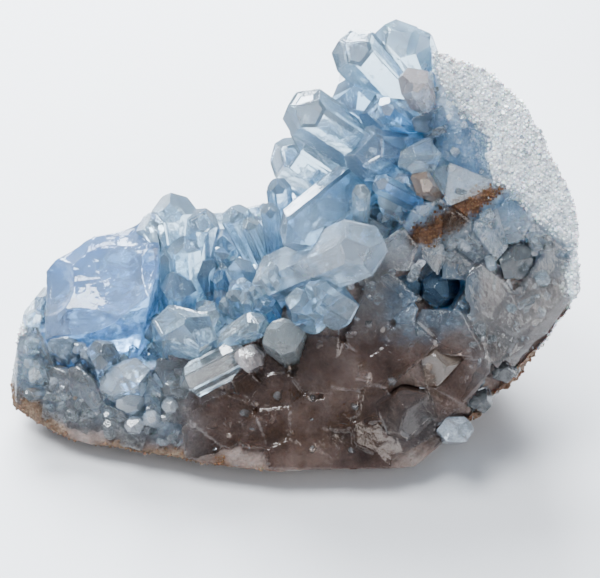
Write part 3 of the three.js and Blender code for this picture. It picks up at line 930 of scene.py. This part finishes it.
def sectionSeeds(rng):
    points = []
    reaches = []
    solid = []
    face, broadReach = np.array(blocks["face"][0]), blocks["face"][1]
    points.append(face)
    reaches.append(broadReach)
    solid.append(True)
    for spot in blocks["open"]:
        points.append(np.array(spot))
        reaches.append(blocks["openReach"])
        solid.append(False)
    for i in scatter(inSection & (place[:, 2] > 3), blocks["spacing"], rng):
        if rng.random() < blocks["dropped"]:
            continue
        if any(inside or gap < 0.4 for way, gap, inside in nearCrystals(place[i], 9, "heel_block")):
            continue
        if np.linalg.norm(place[i] - face) < broadReach:
            continue
        points.append(place[i])
        reaches.append(blocks["spacing"] * rng.uniform(0.45, 1.4))
        solid.append(sugar[i] < 0.5 and crust[i] < 0.5 and rust[i] < 0.6)
    return np.array(points), reaches, solid


def hullPlanes(x, y, z, at, ragged):
    # the rock's outside near a block, apart from the section itself, drawn in a little at the right
    normals = []
    reaches = []
    for n, reach, across in zip(hullNormals, hullReaches, sectionSide):
        room = reach - n @ at
        if room < blocks["hullReach"] and not across:
            normals.append((n @ x, n @ y, n @ z))
            reaches.append(room - 0.15 - max(0.0, n[0] - 0.4) * ragged)
    return normals, reaches


def edgeRoom(p):
    # how far a point of the section is from the rock's other sides
    return (hullReaches - hullNormals @ p)[~sectionSide].min()


def sectionBlocks():
    rng = np.random.default_rng(blocks["seed"])
    points, reaches, solid = sectionSeeds(rng)
    seeds = kdtree.KDTree(len(points))
    for k, p in enumerate(points):
        seeds.insert(p, k)
    seeds.balance()
    heaps = {}
    for k, p in enumerate(points):
        if not solid[k]:
            continue
        beside = nearCrystals(p, 9, "heel_block")
        z = sectionNormal(p)
        x, y = sideways(z)
        normals, limits = hullPlanes(x, y, z, p, rng.uniform(0, blocks["ragged"]))
        for at, j, gap in seeds.find_n(p, blocks["neighbours"]):
            if j == k or gap < 0.2:
                continue
            way = (points[j] - p) / gap
            normals.append((way @ x, way @ y, way @ z))
            limits.append(gap * reaches[k] / (reaches[k] + reaches[j]) - blocks["gap"])
        for way, gap, inside in beside:
            normals.append((way @ x, way @ y, way @ z))
            limits.append(gap - 0.02)
        for turn in np.arange(6) * math.pi / 3 + rng.uniform(0, 1):
            normals.append((math.cos(turn), math.sin(turn), 0))
            limits.append(blocks["widest"])
        proud = rng.random() < blocks["proudShare"]
        rise = rng.uniform(*(blocks["proud"] if proud else blocks["rise"]))
        lean = rng.uniform(-1, 1, 2) * blocks["lean"][1 if proud or rng.random() < 0.3 else 0]
        normals += [(0, 0, -1), unit((lean[0], lean[1], 1))]
        limits += [blocks["depth"], rise]
        for chip in range(rng.integers(*blocks["chips"])):
            turn = rng.uniform(0, 2 * math.pi)
            normals.append(unit((math.cos(turn), math.sin(turn), rng.uniform(0.5, 1.6))))
            limits.append(reaches[k] * rng.uniform(0.75, 1.25))
        shape = cutSolid(normals, limits)
        if len(shape[1]) < 4:
            continue
        heaps.setdefault(blockLook(p, rng), Heap()).add(shape, x, y, z, p)
    made = []
    for look, heap in sorted(heaps.items()):
        if look == "section_glass":
            piece = heap.build("section_mass", sectionMaterial(), "crystal_smoky")
            remesh = piece.modifiers.new("joined", "REMESH")
            remesh.mode = "VOXEL"
            remesh.voxel_size = blocks["voxel"]
            remesh.use_smooth_shade = True
            applyModifiers(piece)
            paintTone(piece)
        else:
            slot = slotLook.get(look, look)
            piece = heap.build("section_" + look, crystalMaterials[look], slot, blocks["edge"])
        made.append(piece)
    return made


sectionPieces = sectionBlocks()
heel = crystals["heel_block"].data
heel.materials[0] = bpy.data.materials["section_glass"]
paintTone(crystals["heel_block"])
print("section blocks:", [len(p.data.polygons) for p in sectionPieces])


# loose chips and points that stand out of the section

shards = {"seed": 19, "spacing": 3.4, "across": (0.5, 1.7), "rise": (0.15, 0.6), "share": 0.28,
          "edge": 0.05 * mm,
          "edgeRoom": 2.2}


def sectionShards():
    rng = np.random.default_rng(shards["seed"])
    heaps = {"clear_grey": Heap(), "tan_glass": Heap()}
    mask = inSection & (sugar < 0.6) & (crust < 0.5) & (place[:, 2] > 5)
    for i in scatter(mask, shards["spacing"], rng):
        if rng.random() > shards["share"]:
            continue
        shape = shardShape(rng.uniform(*shards["across"]), rng.uniform(*shards["rise"]), rng)
        z = unit(sectionNormal(place[i]) + rng.normal(0, 0.25, 3))
        x, y = sideways(z)
        if insideCrystal(place[i]) or edgeRoom(place[i]) < shards["edgeRoom"]:
            continue
        look = "tan_glass" if rng.random() < 0.3 and place[i][2] < 30 else "clear_grey"
        heaps[look].add(shape, x, y, z, place[i])
    return [heap.build("shards_" + look, crystalMaterials[look], slotLook[look], shards["edge"])
            for look, heap in heaps.items()]


shardPieces = sectionShards()
print("shards:", [len(p.data.polygons) for p in shardPieces])


# small clear points that break up the pale parts of the section

clearPoints = {
    "seed": 29, "spacing": 2.3, "wide": (1.0, 3.2), "stretch": (0.7, 1.5), "sink": 1.3, "stray": 0.5,
    "left": -21, "edge": 0.05 * mm,
    "underSlab": [((-50.3, -8.9, 19.4), 4.2), ((-52.4, -8.3, 17.6), 3.0), ((-47.4, -10.2, 19.0), 3.6),
                  ((-45, -10.6, 20.4), 2.8), ((-43, -11.8, 19.8), 3.2), ((-49, -10.4, 17.2), 2.6)]}


def sectionPoints():
    rng = np.random.default_rng(clearPoints["seed"])
    heaps = {"clear_grey": Heap(), "milky_white": Heap(), "crystal_pale": Heap()}
    mask = inSection & (sugar < 0.4) & (crust < 0.3) & (rust < 0.3)
    for i in scatter(mask, clearPoints["spacing"], rng):
        x0, y0, z0 = place[i]
        share = 0.85 if x0 < clearPoints["left"] else 0.3 * paleness(place[i][None])[0]
        if rng.random() > share:
            continue
        aim = unit(sectionNormal(place[i]) + clearPoints["stray"] * rng.normal(0, 0.8, 3) + (0, 0, 0.25))
        wide = clearPoints["wide"][0] + (clearPoints["wide"][1] - clearPoints["wide"][0]) * rng.random() ** 1.6
        wide *= 1.35 if x0 < clearPoints["left"] else 1
        long = wide * rng.uniform(*clearPoints["stretch"]) + clearPoints["sink"]
        if insideCrystal(place[i]) or insideCrystal(place[i] + aim * (long - clearPoints["sink"])):
            continue
        shape = crystalShape(wide, wide * rng.uniform(0.5, 0.95), long, rng)
        x, y = sideways(aim)
        look = rng.choice(["clear_grey", "milky_white", "crystal_pale"], p=[0.5, 0.3, 0.2])
        root = place[i] - aim * clearPoints["sink"]
        if edgeRoom(place[i]) > 0.6 * wide + 0.8:
            heaps[look].add(shape, x, y, aim, root)
    for at, wide in clearPoints["underSlab"]:
        aim = unit((-0.4, -0.75, 0.5) + rng.normal(0, 0.22, 3))
        x, y = sideways(aim)
        shape = crystalShape(wide, wide * 0.8, wide * 0.55 + clearPoints["sink"], rng)
        heaps["milky_white"].add(shape, x, y, aim, np.array(at) - aim * clearPoints["sink"])
    return [heap.build("points_" + look, crystalMaterials[look], slotLook.get(look, look), clearPoints["edge"])
            for look, heap in heaps.items()]


pointPieces = sectionPoints()
print("section points:", [len(p.data.polygons) for p in pointPieces])


# small crystals that fill the hollow between the large ones

fill = {"seed": 23, "spacing": 2.6, "wide": (1.8, 4.2), "stretch": (1.3, 2.4), "sink": 0.9, "stray": 0.75,
        "edge": 0.06 * mm}


def hollowFill():
    rng = np.random.default_rng(fill["seed"])
    heaps = {"crystal_pale": Heap(), "crystal_blue": Heap()}
    for i in scatter(inHollow, fill["spacing"], rng):
        rng = np.random.default_rng((fill["seed"], int(i)))
        aim = unit(facing[i] + fill["stray"] * rng.normal(0, 0.6, 3) + (0, -0.15, 0.25))
        wide = rng.uniform(*fill["wide"])
        long = wide * rng.uniform(*fill["stretch"])
        if insideCrystal(place[i] + aim * long * 0.7):
            continue
        shape = crystalShape(wide, wide * rng.uniform(0.55, 0.95), long, rng)
        spin = rng.uniform(0, 2 * math.pi)
        u, v = sideways(aim)
        x = math.cos(spin) * u + math.sin(spin) * v
        y = np.cross(aim, x)
        slot = "crystal_pale" if rng.random() < 0.7 else "crystal_blue"
        root = place[i] - aim * fill["sink"]
        if inBox(shape, x, y, aim, root):
            heaps[slot].add(shape, x, y, aim, root)
    return [heap.build("hollow_fill_" + slot.split("_")[1], crystalMaterials[slot], slot, fill["edge"])
            for slot, heap in heaps.items()]


fillPieces = hollowFill()
print("hollow fill:", [len(p.data.polygons) for p in fillPieces])


# sugary grains on the pale rim, earthy crumbs on the brown crust

grains = {"seed": 31, "sugarSpacing": 0.66, "sugarSize": (0.16, 0.46), "crumbSpacing": 1.0,
          "crumbSize": (0.14, 0.4), "templates": 16, "most": 8500}


def grainMaterial(name, stops, roughness, source="Speck"):
    material, tree, shader, output = blankMaterial(name)
    grit = tree.nodes.new("ShaderNodeGroup")
    grit.node_tree = grain
    grit.inputs["Scale"].default_value = 1100
    colour = ramp(tree, stops)
    tree.links.new(grit.outputs[source], colour.inputs["Fac"])
    tree.links.new(colour.outputs["Color"], shader.inputs["Base Color"])
    rough = addNode(tree, "ShaderNodeMapRange", {"To Min": roughness[0], "To Max": roughness[1]})
    tree.links.new(grit.outputs["Blotch"], rough.inputs["Value"])
    tree.links.new(rough.outputs["Result"], shader.inputs["Roughness"])
    shader.inputs["Subsurface Weight"].default_value = 0.3
    shader.inputs["Subsurface Scale"].default_value = 0.001
    return material


def grainPiece(name, mask, spacing, size, material, rng):
    shapes = []
    for k in range(grains["templates"]):
        normals = [unit(rng.normal(size=3)) for n in range(2)]
        normals += [(0, 0, 1), (0, 0, -1), (1, 0, 0), (-1, 0, 0), (0, 1, 0), (0, -1, 0)]
        shapes.append(cutSolid(normals, rng.uniform(0.6, 1.1, len(normals))))
    heap = Heap()
    for i in scatter(mask, spacing, rng, grains["most"]):
        verts, faces = shapes[rng.integers(len(shapes))]
        scale = size[0] + (size[1] - size[0]) * rng.random() ** 2
        turn = np.array(Matrix.Rotation(rng.uniform(0, 6.28), 3, Vector(unit(rng.normal(size=3)))))
        at = moved[i] + facing[i] * scale * 0.1
        if inBox((verts * scale, faces), turn[0], turn[1], turn[2], at):
            heap.add((verts * scale, faces), turn[0], turn[1], turn[2], at)
    return heap.build(name, material, "geode_rock")


grainRng = np.random.default_rng(grains["seed"])
sugarLook = grainMaterial("sugar_grain", [(0.05, (0.32, 0.37, 0.43)), (0.2, (0.8, 0.84, 0.88)),
                                          (0.45, (0.98, 0.98, 0.99))], (0.12, 0.5), "Cell")
crumbLook = grainMaterial("crust_crumb", [(0.3, (0.08, 0.045, 0.028)), (0.6, (0.24, 0.17, 0.115))], (0.5, 0.9))
rustLook = grainMaterial("rust_crumb", [(0.3, (0.07, 0.035, 0.018)), (0.6, (0.22, 0.125, 0.065))], (0.5, 0.9))
front = facing[:, 1] < 0.15
sugary = (sugar > 0.45) & (place[:, 2] > 2)
earthy = (crust > 0.5) & (place[:, 2] > 1.5)
grainPieces = [
    grainPiece("sugar_front", sugary & front, grains["sugarSpacing"], grains["sugarSize"],
               sugarLook, grainRng),
    grainPiece("sugar_back", sugary & ~front, 0.8, (0.18, 0.5), sugarLook, grainRng),
    grainPiece("crumbs", earthy, grains["crumbSpacing"], grains["crumbSize"], crumbLook, grainRng),
    grainPiece("rust_crumbs", rust > 0.4, 0.55, (0.12, 0.34), rustLook, grainRng),
]
print("grains:", [len(p.data.polygons) for p in grainPieces])


# healed cracks inside the larger crystals

veils = {"seed": 41, "sectionSpacing": 2.6, "thick": 0.03, "rings": 3, "spokes": 11, "radius": (0.8, 4.2),
         "count": {"clear_point": 9, "blue_blade": 8, "hero_point": 9, "top_blade": 10, "left_slab": 9,
                   "knob": 12,
                   "oval_crystal": 8, "blue_mass": 9, "back_clear": 12, "pink_block": 5, "pale_back": 6,
                   "tilted_point": 5, "window_prism": 5, "front_left_point": 4, "dome_crystal": 4,
                   "back_mass": 6, "lower_chip": 4, "heel_block": 5, "lying_prism": 4}}


def veilMaterial():
    material, tree, shader, output = blankMaterial("veil")
    links = tree.links
    coords = tree.nodes.new("ShaderNodeTexCoord")
    wisps = addNode(tree, "ShaderNodeTexNoise",
                    {"Scale": 420, "Detail": 6, "Roughness": 0.65, "Distortion": 1.2})
    links.new(coords.outputs["Object"], wisps.inputs["Vector"])
    fade = ramp(tree, [(0.42, (0, 0, 0)), (0.62, (0.6, 0.6, 0.6)), (0.75, (0.9, 0.9, 0.9))])
    links.new(wisps.outputs["Fac"], fade.inputs["Fac"])
    links.new(fade.outputs["Color"], shader.inputs["Alpha"])
    tone = ramp(tree, [(0.3, (0.8, 0.9, 1.0)), (0.7, (1.0, 1.0, 1.0))])
    links.new(wisps.outputs["Fac"], tone.inputs["Fac"])
    links.new(tone.outputs["Color"], shader.inputs["Base Color"])
    shader.inputs["Roughness"].default_value = 0.25
    return material


def veilShape(radius, rng):
    rings = veils["rings"]
    spokes = veils["spokes"]
    bend = rng.uniform(-0.12, 0.12) / radius
    outline = 1 + 0.35 * rng.uniform(-1, 1, spokes)
    top = [np.zeros(3)]
    for ring in range(1, rings + 1):
        for k in range(spokes):
            reach = radius * ring / rings * outline[k]
            turn = 2 * math.pi * k / spokes
            rise = bend * reach * reach * 2 + rng.uniform(-0.03, 0.03) * radius
            top.append(np.array((reach * math.cos(turn), reach * math.sin(turn), rise)))
    verts = np.array(top + [p - (0, 0, veils["thick"]) for p in top])
    half = len(top)
    faces = []
    for k in range(spokes):
        nxt = (k + 1) % spokes
        faces.append([0, 1 + k, 1 + nxt])
        faces.append([half, half + 1 + nxt, half + 1 + k])
        for ring in range(rings - 1):
            a = 1 + ring * spokes
            b = a + spokes
            faces.append([a + k, b + k, b + nxt, a + nxt])
            faces.append([half + a + k, half + a + nxt, half + b + nxt, half + b + k])
        rim = 1 + (rings - 1) * spokes
        faces.append([rim + k, half + rim + k, half + rim + nxt, rim + nxt])
    return verts, faces


def sectionVeils(heap, rng):
    glass = inSection & (sugar < 0.3) & (crust < 0.3)
    for i in scatter(glass, veils["sectionSpacing"], rng):
        if rng.random() > 0.3 + 0.6 * paleness(place[i][None])[0] or insideCrystal(place[i]):
            continue
        out = sectionNormal(place[i])
        deep = rng.uniform(0.5, 1.9)
        z = unit(out + rng.normal(0, 0.7, 3))
        x, y = sideways(z)
        heap.add(veilShape(deep * rng.uniform(0.5, 1.0), rng), x, y, z, place[i] - out * deep)


def crystalVeils():
    rng = np.random.default_rng(veils["seed"])
    heap = Heap()
    sectionVeils(heap, rng)
    for node, count in veils["count"].items():
        low, high = (np.array(corner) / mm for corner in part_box(node))
        tree = crystalTrees[node]
        made = 0
        for attempt in range(400):
            p = rng.uniform(low, high)
            hit, normal, index, gap = tree.find_nearest(Vector(p) * mm)
            gap /= mm
            if (Vector(p) * mm - hit).dot(normal) > 0 or gap < veils["radius"][0]:
                continue
            radius = min(gap * 0.85, rng.uniform(*veils["radius"])) / 1.35
            z = unit(rng.normal(size=3))
            x, y = sideways(z)
            heap.add(veilShape(radius, rng), x, y, z, p)
            made += 1
            if made >= count:
                break
    return heap.build("inner_veils", veilMaterial(), "crystal_pale")


veilPiece = crystalVeils()
print("veils:", len(veilPiece.data.polygons))


# floor, light and camera

stageLook = {"floor": (0.7, 0.7, 0.71), "floorSize": 6.0, "contrast": "AgX - Medium High Contrast",
             "bounces": 16}
cameraLook = {"aim": (3.25 * mm, -9.25 * mm, 36 * mm), "distance": 0.281, "elevation": 40.0, "lens": 80.0}
lampLook = [
    {"name": "window", "at": (-0.15, 0.75, 0.68), "size": 0.62, "power": 34, "colour": (0.9, 0.95, 1.0)},
    {"name": "overhead", "at": (-0.25, 0.05, 0.7), "size": 0.35, "power": 6.5, "colour": (0.95, 0.98, 1.0)},
    {"name": "fill", "at": (0.4, -0.6, 0.45), "size": 0.5, "power": 2.6, "colour": (1.0, 0.96, 0.92)},
]
skyLook = {"low": (0.3, 0.33, 0.38), "high": (0.62, 0.74, 0.9), "strength": 0.55}


def floorMaterial():
    material, tree, shader, output = blankMaterial("pale_floor")
    coords = tree.nodes.new("ShaderNodeTexCoord")
    mottle = addNode(tree, "ShaderNodeTexNoise", {"Scale": 9, "Detail": 4})
    tree.links.new(coords.outputs["Object"], mottle.inputs["Vector"])
    base = stageLook["floor"]
    tone = ramp(tree, [(0.3, tuple(c * 0.97 for c in base)), (0.7, base)])
    tree.links.new(mottle.outputs["Fac"], tone.inputs["Fac"])
    tree.links.new(tone.outputs["Color"], shader.inputs["Base Color"])
    shader.inputs["Roughness"].default_value = 0.7
    return material


def buildStage():
    half = stageLook["floorSize"] / 2
    mesh = bpy.data.meshes.new("floor")
    corners = [(-half, -half, 0), (half, -half, 0), (half, half, 0), (-half, half, 0)]
    mesh.from_pydata(corners, [], [(0, 1, 2, 3)])
    floor = bpy.data.objects.new("floor", mesh)
    mesh.materials.append(floorMaterial())
    bpy.context.scene.collection.objects.link(floor)
    aim = Vector(cameraLook["aim"])
    for look in lampLook:
        light = bpy.data.lights.new(look["name"], "AREA")
        light.size = look["size"]
        light.energy = look["power"]
        light.color = look["colour"]
        lamp = bpy.data.objects.new(look["name"], light)
        lamp.location = look["at"]
        lamp.rotation_euler = (aim - lamp.location).to_track_quat("-Z", "Y").to_euler()
        bpy.context.scene.collection.objects.link(lamp)
    buildSky()
    bpy.context.scene.view_settings.look = stageLook["contrast"]
    bpy.context.scene.cycles.max_bounces = stageLook["bounces"]
    bpy.context.scene.cycles.transmission_bounces = stageLook["bounces"]


def buildSky():
    world = bpy.data.worlds.new("studio")
    world.use_nodes = True
    tree = world.node_tree
    coords = tree.nodes.new("ShaderNodeTexCoord")
    split = tree.nodes.new("ShaderNodeSeparateXYZ")
    tree.links.new(coords.outputs["Generated"], split.inputs["Vector"])
    tone = ramp(tree, [(0.0, skyLook["low"]), (0.7, skyLook["high"])])
    tree.links.new(split.outputs["Z"], tone.inputs["Fac"])
    tree.links.new(tone.outputs["Color"], tree.nodes["Background"].inputs["Color"])
    tree.nodes["Background"].inputs["Strength"].default_value = skyLook["strength"]
    bpy.context.scene.world = world


def buildCamera():
    data = bpy.data.cameras.new("camera")
    data.lens = cameraLook["lens"]
    data.sensor_width = 36.0
    data.clip_start = 0.01
    camera = bpy.data.objects.new("camera", data)
    rise = math.radians(cameraLook["elevation"])
    aim = Vector(cameraLook["aim"])
    camera.location = aim + cameraLook["distance"] * Vector((0, -math.cos(rise), math.sin(rise)))
    camera.rotation_euler = (aim - camera.location).to_track_quat("-Z", "Y").to_euler()
    bpy.context.scene.collection.objects.link(camera)
    bpy.context.scene.camera = camera


buildStage()
buildCamera()
print("stage ready")
